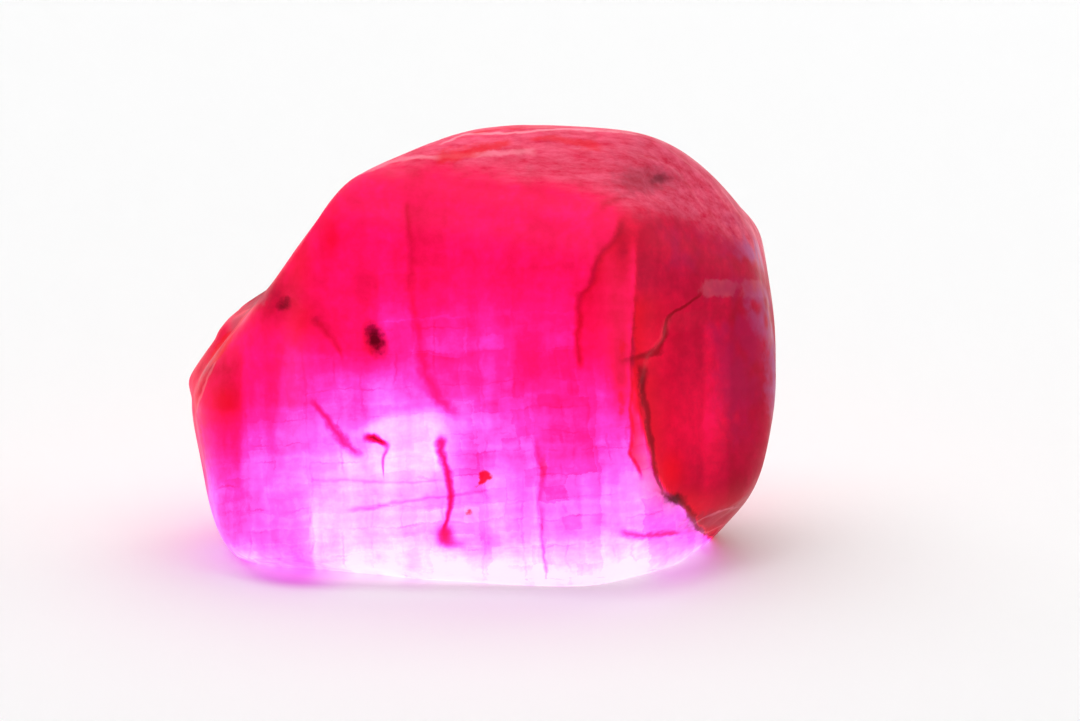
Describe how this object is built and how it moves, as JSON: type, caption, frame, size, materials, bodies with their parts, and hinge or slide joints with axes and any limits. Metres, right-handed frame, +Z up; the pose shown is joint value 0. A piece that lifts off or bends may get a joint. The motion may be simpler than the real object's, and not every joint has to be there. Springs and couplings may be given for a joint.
{
  "type": "raw ruby crystal",
  "caption": "Rough, water-worn ruby crystal: a blunt, pinkish-red, light-passing stone with worn natural faces, lying on its flat side.",
  "frame": {"origin": "on the surface that the stone rests on, under the middle of the stone's box", "axes": "+X along the stone's length, to the right as seen from the front; +Y to the back; +Z up"},
  "size_m": [0.02, 0.0142, 0.0145],
  "materials": {
    "ruby": "rough ruby, worn satin surface, milky and light-passing inside"
  },
  "bodies": {
    "root": {"ruby_crystal": "ruby"}
  },
  "joints": []
}
